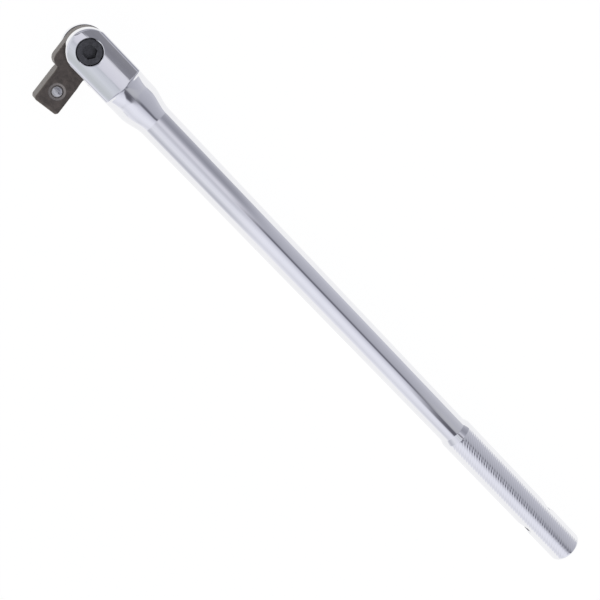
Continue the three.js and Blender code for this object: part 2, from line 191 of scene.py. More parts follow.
# %% Greys across the bar, and how they follow each other along it
def greys_across(angle, low, high, stops):
    """A ramp over the angle across the bar, from (degrees, hex) stops."""
    place = add(
        tent, "ShaderNodeMapRange", Value=angle, From_Min=low, From_Max=high, To_Min=0.0, To_Max=1.0
    )
    ramp = add(tent, "ShaderNodeValToRGB", Fac=place.outputs[0])
    set_stops(ramp, [((degrees - low) / (high - low), tone) for degrees, tone in stops])
    return ramp.outputs["Color"]


over_flats = greys_across(across_degrees, -15, 15, [
    (-15, "#D9DCE3"), (-6.5, "#C4C8CE"), (-4.6, "#BCC0C3"), (-2.6, "#CCCFD6"), (-0.9, "#C3C6CE"),
    (-0.35, "#B6B9C1"), (0.2, "#CDCDD6"), (2.0, "#D3D3DC"), (3.9, "#D6D6DE"), (4.5, "#85858D"),
    (6.0, "#7E7E86"), (9.0, "#88888E"), (12, "#8E8E95"), (15, "#94949B"),
])
over_neck_start = greys_across(across_degrees, -90, 90, [
    (-88, "#D6D7DE"), (-76, "#B6B7BF"), (-67, "#BEC0C8"), (-46, "#DCDDE4"), (-26, "#D8D9E2"),
    (-13, "#C4C5CE"), (-5, "#C0C1CA"), (5, "#D0D0D9"), (13, "#D0D0D9"), (19, "#C5C5CF"),
    (32, "#9FA0AA"), (45, "#8E8F99"), (55, "#93949E"), (67, "#9B9CA6"), (88, "#B4B5BD"),
])
line_lean = add(
    tent, "ShaderNodeMapRange", Value=along_degrees,
    From_Min=20.0, From_Max=36.0, To_Min=10.0, To_Max=0.0,
).outputs[0]
from_line = add(
    tent, "ShaderNodeMath", {"operation": "SUBTRACT"}, i0=across_degrees, i1=line_lean
).outputs[0]
over_shaft = greys_across(from_line, -100, 90, [
    (-98, "#E9E9EE"), (-90, "#DFE0E7"), (-80, "#D7D8E0"), (-74, "#D5D6DF"), (-66, "#DBDCE4"),
    (-50, "#E2E3EC"), (-36, "#E1E2EB"), (-25, "#D8D9E3"), (-17, "#CCCDD8"), (-9, "#BEBFCA"),
    (-4.5, "#84858F"), (-2.0, "#686872"), (2.0, "#666670"), (5.0, "#80818B"), (10, "#A0A1AB"),
    (16, "#A4A5AF"), (27, "#A9AAB4"), (41, "#AEAFB9"), (56, "#B3B4BE"), (75, "#BFC0C9"),
])
over_neck = greys_across(across_degrees, -90, 90, [
    (-88, "#E4E5EB"), (-76, "#CCCDD4"), (-66, "#D5D6DE"), (-45, "#DFE0E9"), (-33, "#D9DAE4"),
    (-27, "#C4C5CF"), (-23, "#7A7A84"), (-18, "#5C5C65"), (-8, "#5A5A63"), (-1, "#6A6A73"),
    (3.0, "#A0A1A8"), (8, "#ADAEB4"), (20, "#AFB0B7"), (40, "#AFB0B9"), (60, "#B6B7BF"),
    (80, "#C0C1C8"),
])
size_of_tilt = add(
    tent, "ShaderNodeMath", {"operation": "ABSOLUTE"}, i0=across_degrees
).outputs[0]
tent_wall = over_flats
for angle, low, high, next_greys in (
    (size_of_tilt, 12.0, 18.0, over_neck_start),
    (along_degrees, 12.6, 13.6, over_neck_start),
    (along_degrees, 17.6, 20.2, over_shaft),
    (along_degrees, 26.8, 29.3, over_neck),
    (along_degrees, 30.6, 31.8, over_shaft),
):
    share = add(
        tent, "ShaderNodeMapRange", {"interpolation_type": "SMOOTHSTEP"},
        Value=angle, From_Min=low, From_Max=high,
    ).outputs[0]
    tent_wall = add(
        tent, "ShaderNodeMix", {"data_type": "RGBA"}, i0=share, i6=tent_wall, i7=next_greys
    ).outputs[2]
print("the tent has", len(tent.nodes), "nodes")

# %% [markdown]
# The tent is only meant to be seen in the metal. Where the camera looks past the floor it sees
# plain white, as a studio's sweep of white paper would show. The floor glows a little by itself,
# so that it stays paper white under and around the bar, and the bar's underside gets light too.

# %% White paper below and behind
CHROME_SHINE = 0.86  # how much light bright chrome plate gives back, with the lamp's warmth in it
wall_light = add(tent, "ShaderNodeBackground", Color=tent_wall, Strength=1 / CHROME_SHINE)
paper_light = add(tent, "ShaderNodeBackground", Color=colour("#FFFFFF"), Strength=1.0)
ray = add(tent, "ShaderNodeLightPath")
seen = add(
    tent, "ShaderNodeMixShader",
    i0=ray.outputs["Is Camera Ray"], i1=wall_light.outputs[0], i2=paper_light.outputs[0],
)
add(tent, "ShaderNodeOutputWorld", Surface=seen.outputs[0])

paper = bpy.data.materials.new("white_sweep_paper")
paper.use_nodes = True
paper.node_tree.nodes.clear()
fibre = add(paper.node_tree, "ShaderNodeTexNoise", Scale=900.0, Detail=3.0)
glow = add(paper.node_tree, "ShaderNodeEmission", Color=colour("#FFFFFF"), Strength=0.97)
matt = add(
    paper.node_tree, "ShaderNodeBsdfDiffuse", Color=colour("#4A4A4A"), Roughness=1.0
)
rough_paper = add(
    paper.node_tree, "ShaderNodeBump", Strength=0.05, Distance=0.0001, Height=fibre.outputs[0]
)
paper.node_tree.links.new(rough_paper.outputs[0], matt.inputs["Normal"])
both = add(paper.node_tree, "ShaderNodeAddShader", i0=glow.outputs[0], i1=matt.outputs[0])
add(paper.node_tree, "ShaderNodeOutputMaterial", Surface=both.outputs[0])

floor_shape = bmesh.new()
bmesh.ops.create_grid(floor_shape, x_segments=1, y_segments=1, size=6.0)
floor_mesh = bpy.data.meshes.new("floor")
floor_shape.to_mesh(floor_mesh)
floor_shape.free()
floor_mesh.materials.append(paper)
floor = bpy.data.objects.new("floor", floor_mesh)
bpy.context.scene.collection.objects.link(floor)
floor.location.z = cad_box[0].z - 0.02 * MM
bpy.context.scene.view_settings.view_transform = "Standard"
print("floor at", round(1000 * floor.location.z, 3), "mm")

# %% [markdown]
# ## Metals
# **Bright chrome plate** is a hard skin of polished nickel with a blue-white film of chromium on
# top. It is a near mirror. The forging under it was only belt-ground, so the mirror has a very
# faint waviness, with fine wiping marks that show where light grazes it. Roughness stays low and
# wanders a little, and a shallow bump bends the reflections. The plating current hardly reaches
# the walls of the slot, so they stay duller, and a mask from the place of the slot says where.


# %% Bright chrome plate
def new_material(name):
    made = bpy.data.materials.new(name)
    made.use_nodes = True
    made.node_tree.nodes.clear()
    return made, made.node_tree


chrome_plate, tree = new_material("bright_chrome_plate")
here = add(tree, "ShaderNodeTexCoord").outputs["Object"]
drawn_out = add(tree, "ShaderNodeMapping", Vector=here, Scale=(0.12, 1.0, 1.0)).outputs[0]
clouds = add(
    tree, "ShaderNodeTexNoise",
    Vector=here, Scale=1 / (9.0 * MM), Detail=3.0, Roughness=0.5,
).outputs[0]
wipes = add(
    tree, "ShaderNodeTexNoise",
    Vector=drawn_out, Scale=1 / (0.5 * MM), Detail=4.0, Roughness=0.6,
).outputs[0]
cloudy = add(
    tree, "ShaderNodeMapRange",
    Value=clouds, From_Min=0.3, From_Max=0.7, To_Min=0.018, To_Max=0.030,
).outputs[0]
wiped = add(
    tree, "ShaderNodeMapRange",
    Value=wipes, From_Min=0.3, From_Max=0.7, To_Min=0.0, To_Max=0.015,
).outputs[0]
shine = add(tree, "ShaderNodeMath", {"operation": "ADD"}, i0=cloudy, i1=wiped).outputs[0]
film = add(
    tree, "ShaderNodeMix", {"data_type": "RGBA"},
    i0=clouds, i6=colour("#EBEBEE"), i7=colour("#F0F0F2"),
).outputs[2]
ground = add(
    tree, "ShaderNodeTexNoise",
    Vector=drawn_out, Scale=1 / (2.2 * MM), Detail=2.0, Roughness=0.5,
).outputs[0]
ripple = add(tree, "ShaderNodeBump", Strength=0.10, Distance=0.00006, Height=ground)
place = add(tree, "ShaderNodeSeparateXYZ", i0=here)
from_middle = add(
    tree, "ShaderNodeMath", {"operation": "SUBTRACT"}, i0=place.outputs[2], i1=pivot.z
).outputs[0]
between_ears = add(
    tree, "ShaderNodeMath", {"operation": "COMPARE"},
    i0=from_middle, i1=0.0, i2=(slot_half + 0.02) * MM,
).outputs[0]
before_crotch = add(
    tree, "ShaderNodeMath", {"operation": "LESS_THAN"},
    i0=place.outputs[0], i1=pivot.x + (crotch + 0.02) * MM,
).outputs[0]
in_slot = add(
    tree, "ShaderNodeMath", {"operation": "MULTIPLY"}, i0=between_ears, i1=before_crotch
).outputs[0]
slot_tone = add(
    tree, "ShaderNodeMix", {"data_type": "RGBA"}, i0=in_slot, i6=film, i7=colour("#8E8E90")
).outputs[2]
slot_shine = add(tree, "ShaderNodeMix", i0=in_slot, i2=shine, i3=0.42).outputs[0]
slot_metal = add(tree, "ShaderNodeMix", i0=in_slot, i2=1.0, i3=0.55).outputs[0]
plate = add(
    tree, "ShaderNodeBsdfPrincipled",
    Base_Color=slot_tone, Metallic=slot_metal, Roughness=slot_shine, Normal=ripple.outputs[0],
)
add(tree, "ShaderNodeOutputMaterial", Surface=plate.outputs[0])
print(chrome_plate.name, "has", len(tree.nodes), "nodes")

# %% [markdown]
# ** Manganese phosphate** turns the hardened steel of the drive head to a satin brown-black. It is
# a layer of tiny crystals soaked in oil, so it is mottled at the size of a fraction of a
# millimetre, and it wears thin on edges, where a greyer steel shows. The Bevel node finds edges:
# it rounds the normal there, and the difference from the true normal is a mask for the wear. A
# narrow ring round the ball's seat is given a lighter grey colour.


# %% Brown-black manganese phosphate
def edge_wear(tree, reach_mm, grain):
    """1 along sharp edges, broken up by the grain, and 0 on open faces."""
    rounded = add(tree, "ShaderNodeBevel", {"samples": 6}, Radius=reach_mm * MM).outputs[0]
    true = add(tree, "ShaderNodeNewGeometry").outputs["Normal"]
    agree = add(
        tree, "ShaderNodeVectorMath", {"operation": "DOT_PRODUCT"}, i0=rounded, i1=true
    ).outputs["Value"]
    bare = add(
        tree, "ShaderNodeMapRange",
        Value=agree, From_Min=0.93, From_Max=0.995, To_Min=1.0, To_Max=0.0,
    ).outputs[0]
    patchy = add(
        tree, "ShaderNodeMapRange",
        Value=grain, From_Min=0.35, From_Max=0.65, To_Min=0.25, To_Max=1.0,
    ).outputs[0]
    return add(tree, "ShaderNodeMath", {"operation": "MULTIPLY"}, i0=bare, i1=patchy).outputs[0]


black_phosphate, tree = new_material("manganese_phosphate")
here = add(tree, "ShaderNodeTexCoord").outputs["Object"]
blotches = add(
    tree, "ShaderNodeTexNoise",
    Vector=here, Scale=1 / (2.4 * MM), Detail=4.0, Roughness=0.5,
).outputs[0]
crystals = add(
    tree, "ShaderNodeTexNoise",
    Vector=here, Scale=1 / (0.16 * MM), Detail=3.0, Roughness=0.65,
).outputs[0]
blotched = add(
    tree, "ShaderNodeMapRange",
    Value=blotches, From_Min=0.3, From_Max=0.7, To_Min=0.0, To_Max=1.0,
).outputs[0]
brown_black = add(
    tree, "ShaderNodeMix", {"data_type": "RGBA"},
    i0=blotched, i6=colour("#514C48"), i7=colour("#6C645E"),
).outputs[2]
speckle = add(
    tree, "ShaderNodeMapRange",
    Value=crystals, From_Min=0.45, From_Max=0.75, To_Min=0.0, To_Max=0.45,
).outputs[0]
speckled = add(
    tree, "ShaderNodeMix", {"data_type": "RGBA"},
    i0=speckle, i6=brown_black, i7=colour("#8B827A"),
).outputs[2]
from_seat = add(
    tree, "ShaderNodeVectorMath", {"operation": "DISTANCE"},
    i0=here, i1=tuple(middle_of("socket_ball")),
).outputs["Value"]
# A lighter grey colour is laid on a ring round the ball's seat, strongest nearest the ball.
lighter_ring = add(
    tree, "ShaderNodeMapRange",
    Value=from_seat, From_Min=4.35 * MM, From_Max=4.05 * MM, To_Min=0.0, To_Max=0.55,
).outputs[0]
with_lighter_ring = add(
    tree, "ShaderNodeMix", {"data_type": "RGBA"}, i0=lighter_ring, i6=speckled, i7=colour("#B5AFA9")
).outputs[2]
worn = edge_wear(tree, 0.35, blotches)
bare_metal = add(
    tree, "ShaderNodeMapRange",
    Value=worn, From_Min=0.0, From_Max=1.0, To_Min=0.0, To_Max=0.6,
).outputs[0]
surface = add(
    tree, "ShaderNodeMix", {"data_type": "RGBA"},
    i0=bare_metal, i6=with_lighter_ring, i7=colour("#A8A19A"),
).outputs[2]
bumps = add(tree, "ShaderNodeBump", Strength=0.35, Distance=0.00003, Height=crystals)
satin = add(
    tree, "ShaderNodeMapRange",
    Value=blotches, From_Min=0.3, From_Max=0.7, To_Min=0.38, To_Max=0.5,
).outputs[0]
phosphate = add(
    tree, "ShaderNodeBsdfPrincipled",
    Base_Color=surface, Metallic=0.85, Roughness=satin,
    Normal=bumps.outputs[0],
)
add(tree, "ShaderNodeOutputMaterial", Surface=phosphate.outputs[0])
print(black_phosphate.name, "has", len(tree.nodes), "nodes")

# %% [markdown]
# **Black oxide** on the screw is thinner and smoother than phosphate. The lathe's rings still
# show through it. The rings are a wave in the distance from the pivot, because the cutter moves
# out by the same step with every turn.

# %% Oiled black oxide
black_oxide, tree = new_material("oiled_black_oxide")
here = add(tree, "ShaderNodeTexCoord").outputs["Object"]
centred = add(
    tree, "ShaderNodeVectorMath", {"operation": "SUBTRACT"}, i0=here, i1=tuple(pivot)
).outputs[0]
flat = add(tree, "ShaderNodeMapping", Vector=centred, Scale=(1.0, 1.0, 0.0)).outputs[0]
ring_step = 0.22 * MM
rings = add(
    tree, "ShaderNodeTexWave",
    {"wave_type": "RINGS", "rings_direction": "SPHERICAL", "wave_profile": "SIN"},
    Vector=flat, Scale=math.tau / 20 / ring_step, Distortion=0.6, Detail=2.0,
).outputs["Fac"]
smudges = add(
    tree, "ShaderNodeTexNoise",
    Vector=here, Scale=1 / (1.6 * MM), Detail=4.0, Roughness=0.5,
).outputs[0]
smudged = add(
    tree, "ShaderNodeMapRange",
    Value=smudges, From_Min=0.3, From_Max=0.7, To_Min=0.0, To_Max=1.0,
).outputs[0]
blacks = add(
    tree, "ShaderNodeMix", {"data_type": "RGBA"},
    i0=smudged, i6=colour("#48484A"), i7=colour("#5F5F62"),
).outputs[2]
oxide_worn = edge_wear(tree, 0.2, smudges)
bare_oxide = add(
    tree, "ShaderNodeMapRange",
    Value=oxide_worn, From_Min=0.0, From_Max=1.0, To_Min=0.0, To_Max=0.5,
).outputs[0]
oxide_tone = add(
    tree, "ShaderNodeMix", {"data_type": "RGBA"},
    i0=bare_oxide, i6=blacks, i7=colour("#98989A"),
).outputs[2]
turning = add(tree, "ShaderNodeBump", Strength=0.3, Distance=0.00002, Height=rings)
sheen = add(
    tree, "ShaderNodeMapRange",
    Value=smudges, From_Min=0.3, From_Max=0.7, To_Min=0.34, To_Max=0.46,
).outputs[0]
oxide = add(
    tree, "ShaderNodeBsdfPrincipled",
    Base_Color=oxide_tone, Metallic=0.85, Roughness=sheen,
    Normal=turning.outputs[0],
)
add(tree, "ShaderNodeOutputMaterial", Surface=oxide.outputs[0])
print(black_oxide.name, "has", len(tree.nodes), "nodes")

# %% [markdown]
# **Bearing steel** balls are ground and lapped to a grey mirror. **Spring steel** wire and strip
# keep the long marks of the die and the rolls they were drawn through, and a thin brown film of
# oil from tempering.

# %% Lapped bearing steel and drawn spring steel
bearing_steel, tree = new_material("lapped_bearing_steel")
here = add(tree, "ShaderNodeTexCoord").outputs["Object"]
dulled = add(
    tree, "ShaderNodeTexNoise",
    Vector=here, Scale=1 / (0.7 * MM), Detail=4.0, Roughness=0.5,
).outputs[0]
dull = add(
    tree, "ShaderNodeMapRange",
    Value=dulled, From_Min=0.3, From_Max=0.7, To_Min=0.0, To_Max=1.0,
).outputs[0]
steel_tone = add(
    tree, "ShaderNodeMix", {"data_type": "RGBA"},
    i0=dull, i6=colour("#B4B4B6"), i7=colour("#C8C8CA"),
).outputs[2]
lapped = add(
    tree, "ShaderNodeMapRange",
    Value=dulled, From_Min=0.3, From_Max=0.7, To_Min=0.16, To_Max=0.28,
).outputs[0]
ball_steel = add(
    tree, "ShaderNodeBsdfPrincipled",
    Base_Color=steel_tone, Metallic=1.0, Roughness=lapped,
)
add(tree, "ShaderNodeOutputMaterial", Surface=ball_steel.outputs[0])

spring_steel, tree = new_material("drawn_spring_steel")
here = add(tree, "ShaderNodeTexCoord").outputs["Object"]
streaks = add(
    tree, "ShaderNodeTexNoise",
    Vector=here, Scale=1 / (0.25 * MM), Detail=3.0, Roughness=0.7,
).outputs[0]
oil_film = add(
    tree, "ShaderNodeTexNoise",
    Vector=here, Scale=1 / (2.0 * MM), Detail=2.0, Roughness=0.5,
).outputs[0]
oily = add(
    tree, "ShaderNodeMapRange",
    Value=oil_film, From_Min=0.3, From_Max=0.7, To_Min=0.0, To_Max=1.0,
).outputs[0]
wire_tone = add(
    tree, "ShaderNodeMix", {"data_type": "RGBA"},
    i0=oily, i6=colour("#8C8A88"), i7=colour("#7E7468"),
).outputs[2]
drawn = add(tree, "ShaderNodeBump", Strength=0.2, Distance=0.00002, Height=streaks)
drawn_sheen = add(
    tree, "ShaderNodeMapRange",
    Value=streaks, From_Min=0.3, From_Max=0.7, To_Min=0.25, To_Max=0.4,
).outputs[0]
wire = add(
    tree, "ShaderNodeBsdfPrincipled",
    Base_Color=wire_tone, Metallic=1.0, Roughness=drawn_sheen,
    Normal=drawn.outputs[0],
)
add(tree, "ShaderNodeOutputMaterial", Surface=wire.outputs[0])
print(bearing_steel.name, "and", spring_steel.name, "are ready")

# %% [markdown]
# ## Bench tools
# Each piece starts at the pivot, drawn in millimetres, because that is how a drawing of it would
# read. One function puts the finished shape in its place in metres, and fastens it to its body.
# Holes and slots are cut the way a machine shop cuts them: a cutter the shape of the drill or mill
# is taken out of the blank with a Boolean modifier, and the modifier's result is kept as the mesh.


# %% Cutting with a tool
def keep_result(name, bm):
    mesh = bpy.data.meshes.new(name)
    bm.to_mesh(mesh)
    bm.free()
    made = bpy.data.objects.new(name, mesh)
    bpy.context.scene.collection.objects.link(made)
    return made


def machined(blank, tool, operation):
    """The blank after a Boolean with the tool. Both are bmeshes in mm, and both are used up."""
    work = keep_result("work", blank)
    cutter = keep_result("cutter", tool)
    cut = work.modifiers.new("cut", "BOOLEAN")
    cut.operation = operation
    cut.solver = "EXACT"
    cut.object = cutter
    bpy.context.view_layer.update()
    result = work.evaluated_get(bpy.context.evaluated_depsgraph_get()).to_mesh()
    bm = bmesh.new()
    bm.from_mesh(result)
    for used in (work, cutter):
        mesh = used.data
        bpy.data.objects.remove(used)
        bpy.data.meshes.remove(mesh)
    bmesh.ops.remove_doubles(bm, verts=bm.verts, dist=0.0005)
    bmesh.ops.dissolve_degenerate(bm, edges=bm.edges, dist=0.0005)
    return bm


print("ready to cut with:", machined.__name__)


# %% Turning and joining shapes
def turned(profile, steps=96, axis=(0, 0, 1)):
    """A closed solid turned about an axis through the pivot, from (radius, height) points."""
    bm = bmesh.new()
    points = [bm.verts.new((radius, 0, height)) for radius, height in profile]
    edges = [bm.edges.new(pair) for pair in zip(points, points[1:])]
    bmesh.ops.spin(
        bm, geom=points + edges, cent=(0, 0, 0), axis=(0, 0, 1), angle=math.tau,
        steps=steps, use_merge=True,
    )
    bmesh.ops.remove_doubles(bm, verts=bm.verts, dist=0.0001)
    bmesh.ops.recalc_face_normals(bm, faces=bm.faces)
    swing = Vector((0, 0, 1)).rotation_difference(Vector(axis)).to_matrix()
    bmesh.ops.rotate(bm, cent=(0, 0, 0), matrix=swing, verts=bm.verts)
    return bm


def joined(*shapes):
    """Several bmeshes as one, with their own shells kept apart."""
    first, *others = shapes
    for other in others:
        mesh = bpy.data.meshes.new("joining")
        other.to_mesh(mesh)
        first.from_mesh(mesh)
        other.free()
        bpy.data.meshes.remove(mesh)
    return first


def block(low, high):
    bm = bmesh.new()
    bmesh.ops.create_cube(bm, size=1.0)
    size = Vector(high) - Vector(low)
    bmesh.ops.scale(bm, vec=size, verts=bm.verts)
    bmesh.ops.translate(bm, vec=(Vector(high) + Vector(low)) / 2, verts=bm.verts)
    return bm


print("ready to shape:", [tool.__name__ for tool in (turned, joined, block)])


# %% Setting a finished piece in place
def set_in_place(name, bm, finish, body, slot_name, *stands_for, turn=0.0, crease=28):
    """The piece in metres at its place on the bar, shaded smooth with its real edges sharp."""
    place = Matrix.Translation(pivot) @ Matrix.Rotation(turn, 4, "Z") @ Matrix.Scale(MM, 4)
    bmesh.ops.transform(bm, matrix=place, verts=bm.verts)
    open_edges = sum(1 for edge in bm.edges if len(edge.link_faces) != 2)
    for face in bm.faces:
        face.smooth = True
    for edge in bm.edges:
        edge.smooth = len(edge.link_faces) == 2 and edge.calc_face_angle(0) < math.radians(crease)
    made = keep_result(name, bm)
    made.data.materials.append(finish)
    weighted = made.modifiers.new("even_shading", "WEIGHTED_NORMAL")
    weighted.keep_sharp = True
    weighted.weight = 90
    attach(made, body)
    if stands_for:
        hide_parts(*stands_for)
    triangles = sum(len(face.vertices) - 2 for face in made.data.polygons)
    print(name, "has", triangles, "triangles and", open_edges, "open edges")
    return made


def bevelled(bm, edges, width, segments=3):
    bmesh.ops.bevel(
        bm, geom=list(edges), offset=width, offset_type="OFFSET", segments=segments,
        profile=0.5, affect="EDGES", material=-1, clamp_overlap=True,
    )


print("ready to finish:", [tool.__name__ for tool in (set_in_place, bevelled)])

# %% [markdown]
# ## The handle
# One forging makes the fork, the neck, the shaft and the grip. The smith's dies leave a
# rectangular block with rounded edges that melts into a round bar. It could be carved from a
# cylinder with a lattice, or grown from a circle of edges that is extruded again and again, each
# new ring being shaped as the section at its place. The second way follows the drawing, so it is
# used. The points of a ring are spaced along the outline with more of them on the rounded
# corners, and where the outline is a circle they are spaced evenly.

# %% Sizes of the forging
yoke_half_width = 21.2 / 2
yoke_half_height = 1000 * (handle_high.z - handle_low.z) / 2
bar_end = 1000 * (handle_high.x - pivot.x)
grip_start = bar_end - 99.0
edge_radius = 1.5
shaft_radius = 16.7 / 2
shaft_end_radius = 15.6 / 2
grip_radius = 17.6 / 2
flats_end, neck_length, shoulder_length = 22.0, 23.0, 11.0
RING = 192  # points round a section
CROWN = 0.33  # how much lower the flats of the fork are at their edges than in the middle
CREASE_LEAD, CREASE_LENGTH = 0.7, 1.7  # how far before the flats' end the crease starts, its length
CREASE_BOW = 0.3  # how much nearer to the fork the ends of the crease are
DOME_LENGTH, DOME_START = 8.3, 4.2  # over how long the top gets fully round, and its first height
DROP_LENGTH, DROP_EASE = 21.5, 1.5  # from the flats' end to the shaft's height, and its soft end
print("grip runs from", round(grip_start, 1), "to", round(bar_end, 1), "mm behind the pivot")


# %% A rounded rectangle with its points spread along the outline
def outline_point(number, half_width, half_height, corner, crown):
    """Point of a section. Number 0 is on the +Z side, and a quarter of the ring is on +Y."""
    eighth = RING // 8
    octant, step = divmod(number % RING, eighth)
    share = step / eighth
    quarter, second = divmod(octant, 2)
    sides = (half_width, half_height) if quarter % 2 == 0 else (half_height, half_width)
    straight_in, straight_out = sides[0] - corner, sides[1] - corner
    arc = corner * math.pi / 4
    straight = straight_out if second else straight_in
    flat_share = straight / (straight + 3.2 * arc)
    if not second:
        if share < flat_share:
            u, v = straight_in * share / flat_share, sides[1]
        else:
            angle = math.pi / 4 * (share - flat_share) / (1 - flat_share)
            u, v = straight_in + corner * math.sin(angle), straight_out + corner * math.cos(angle)
    else:
        back = 1 - share
        if back <= flat_share and flat_share > 0:
            u, v = sides[0], straight_out * back / flat_share
        else:
            angle = math.pi / 4 * (1 + share / (1 - flat_share))
            u, v = straight_in + corner * math.sin(angle), straight_out + corner * math.cos(angle)
    y, z = [(u, v), (v, -u), (-u, -v), (-v, u)][quarter]
    return y, z * (1 - crown / half_height * (y / half_width) ** 2)


def domed_point(number, half_width, half_height, cap):
    """The same point where the top is half an ellipse, cap high, above an upright flank."""
    quarter, step = divmod(number % RING, RING // 4)
    share = 4 * step / RING
    share = share if quarter % 2 == 0 else 1 - share
    upright = half_height - cap
    flank_share = upright / (upright + math.pi / 4 * (half_width + cap))
    if share <= 1 - flank_share:
        angle = math.pi / 2 * share / (1 - flank_share)
        y, z = half_width * math.sin(angle), upright + cap * math.cos(angle)
    else:
        y, z = half_width, upright * (1 - share) / flank_share
    return (y if quarter < 2 else -y), (z if quarter in (0, 3) else -z)


def eased(t):
    t = min(max(t, 0.0), 1.0)
    return t * t * (3 - 2 * t)


def between(a, b, t):
    return a + (b - a) * t


print("corner of the fork's section:", [round(x, 2) for x in outline_point(24, 10.6, 11, 1.5, 0)])


# %% [markdown]
# The section changes along the bar. In the neck the width holds on and then runs in to the shaft,
# the height drops at once. The flat top ends in a soft crease, which bows towards the fork at
# its ends. Behind the crease the top is half an ellipse that gets deeper until it meets the one
# from below, and from there the section goes over to a circle. The grip's knurl is rolled in by
# one wheel with slanting teeth. The wheel presses steel out of its grooves into soft ridges that
# run round the bar like the thread of a long screw. Here the pitch along the bar is 2 mm and the
# ridges lean about 40 degrees, and every point of a grip ring is moved in or out with a wave of
# that slant. The grooves are shallower than on a real grip, so that long reflections stay whole.


# %% Section of the forging at each place along it
def neck_section(x):
    along = max(0.0, (x - flats_end) / neck_length)
    shoulder = shoulder_length / neck_length
    narrowing = 0.06 * along + 0.94 * eased((along - shoulder) / (1 - shoulder))
    to_go = flats_end + DROP_LENGTH - x
    to_go = to_go if to_go > DROP_EASE else max(to_go + DROP_EASE, 0.0) ** 2 / (4 * DROP_EASE)
    drop = min(max(1 - to_go / DROP_LENGTH, 0.0), 1.0)
    half_width = between(yoke_half_width, shaft_radius, narrowing)
    half_height = between(yoke_half_height, shaft_radius, drop * (1.3 - 0.3 * drop))
    deepening = 1 - (1 - min(max((x - flats_end + CREASE_LEAD) / DOME_LENGTH, 0.0), 1.0)) ** 1.3
    return half_width, half_height, between(DOME_START, half_height, deepening)


def round_section(radius):
    return radius, radius, radius


def section_point(x, number, section):
    """Flat with rounded corners on the fork, domed behind the crease."""
    half_width, half_height, cap = section
    y, z = outline_point(number, half_width, half_height, edge_radius, CROWN)
    past_crease = x - flats_end + CREASE_LEAD + CREASE_BOW * (y / half_width) ** 2
    domed = eased(past_crease / CREASE_LENGTH)
    domed_y, domed_z = domed_point(number, half_width, half_height, cap)
    return between(y, domed_y, domed), between(z, domed_z, domed)


KNURL_STARTS, KNURL_PITCH, KNURL_DEPTH = 32, 2.0, 0.07
COLLAR, END_ROUND = 4.0, 2.0


def knurl_cut(x, number):
    """How deep the knurl is at a point of the grip: nothing on the collar and at the end."""
    wave = KNURL_STARTS * number / RING + x / KNURL_PITCH
    groove = (0.5 + 0.5 * math.cos(math.tau * wave)) ** 1.4
    fade = eased((x - grip_start - COLLAR + 0.2) / 1.6) * eased((bar_end - END_ROUND - x) / 0.5)
    return KNURL_DEPTH * groove * fade


def grip_place(x):
    return eased((x - grip_start) / COLLAR)


stations = [(-yoke_half_width - 1.0, (yoke_half_width, yoke_half_height, edge_radius))]
for step in range(0, 28):
    x = flats_end - 3.8 + 0.2 * step
    stations.append((x, neck_section(x)))
for step in range(1, 53):
    x = between(flats_end + 1.6, flats_end + neck_length, step / 52)
    stations.append((x, neck_section(x)))
for step in range(1, 25):
    t = step / 24
    x = between(flats_end + neck_length, grip_start, t)
    stations.append((x, round_section(between(shaft_radius, shaft_end_radius, t))))
knurled_steps = math.floor((bar_end - END_ROUND - grip_start) / (KNURL_PITCH / 6))
for step in range(1, knurled_steps + 1):
    x = grip_start + step * KNURL_PITCH / 6
    radius = between(shaft_end_radius, grip_radius, grip_place(x))
    stations.append((x, round_section(radius)))
for step in range(0, 11):
    angle = math.pi / 2 * step / 10
    x = bar_end - END_ROUND * (1 - math.sin(angle))
    stations.append((x, round_section(grip_radius - END_ROUND * (1 - math.cos(angle)))))
print(len(stations), "sections from the fork to the end of the grip")


# %% Growing the forging ring by ring
def forge(stations):
    bm = bmesh.new()
    bmesh.ops.create_circle(bm, cap_ends=True, segments=RING, radius=1.0)
    turn_order = bm.verts.layers.int.new("turn_order")
    bm.verts.ensure_lookup_table()
    for number, vert in enumerate(bm.verts):
        vert[turn_order] = number
    ring = list(bm.edges)
    for count, (x, section) in enumerate(stations):
        if count:
            grown = bmesh.ops.extrude_edge_only(bm, edges=ring)["geom"]
            ring = [item for item in grown if isinstance(item, bmesh.types.BMEdge)]
            ring = [e for e in ring if len(e.link_faces) == 1]
        points = {vert for edge in ring for vert in edge.verts}
        for vert in points:
            number = vert[turn_order]
            y, z = section_point(x, number, section)
            if x > grip_start + COLLAR / 2:
                keep = 1 - knurl_cut(x, number) / math.hypot(y, z)
                y, z = y * keep, z * keep
            vert.co = (x, y, z)
    bmesh.ops.contextual_create(bm, geom=ring)
    bmesh.ops.recalc_face_normals(bm, faces=bm.faces)
    return bm


blank = forge(stations)
print("forging blank:", len(blank.verts), "points,", len(blank.faces), "faces")

# %% [markdown]
# Now the machining. A mill with the shape of the fork's plan rounds off the tip, a slitting cutter
# opens the fork, a counterbore and drill make the seat of the screw, a drill sinks the bore for
# the ball that steadies the head, and the last one goes across the grip. The drills carry their
# countersinks, so each mouth gets its small bright chamfer in the same cut.


